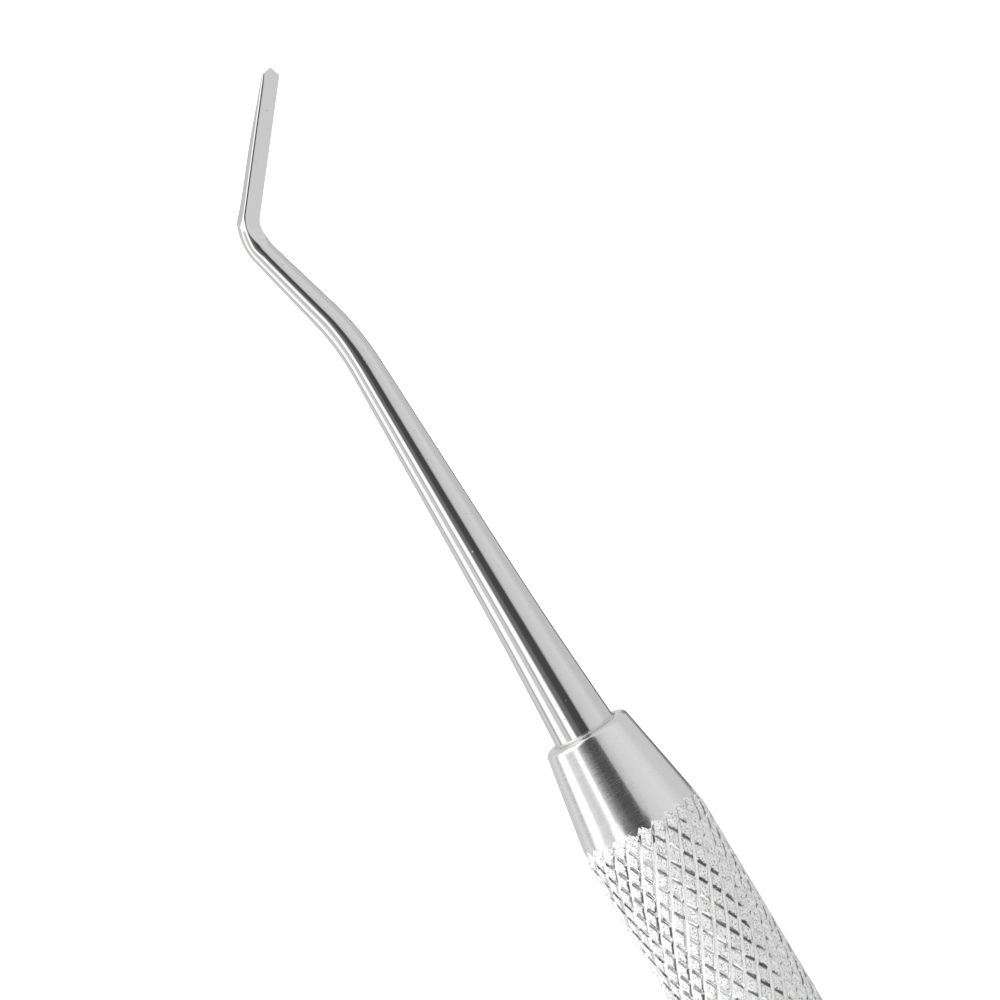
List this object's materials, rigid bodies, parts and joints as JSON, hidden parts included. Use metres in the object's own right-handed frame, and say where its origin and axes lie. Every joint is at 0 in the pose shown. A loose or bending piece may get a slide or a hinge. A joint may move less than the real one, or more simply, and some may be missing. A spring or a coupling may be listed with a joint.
{
  "type": "dental elevator",
  "caption": "Slim angled root-tip elevator: a bent steel shank with a flat pointed blade, fixed in a hollow diamond-knurled handle with tapered ends.",
  "frame": {"origin": "on the handle's axis, at the middle of the knurled grip", "axes": "+X along the handle from the working end to the rear; +Y towards the side that the tip points to; +Z out of the flat face of the blade"},
  "size_m": [0.1586, 0.0103, 0.0094],
  "materials": {
    "polished_steel": "mirror-polished stainless steel",
    "knurled_steel": "bright blasted knurling with a fine-turned satin nose cone",
    "braze_filler": "silver-coloured filler metal, polished",
    "satin_steel": "fine-turned satin stainless steel"
  },
  "bodies": {
    "root": {"working_end": "polished_steel", "handle_body": "knurled_steel", "front_braze_ring": "braze_filler", "rear_plug": "satin_steel"}
  },
  "joints": []
}
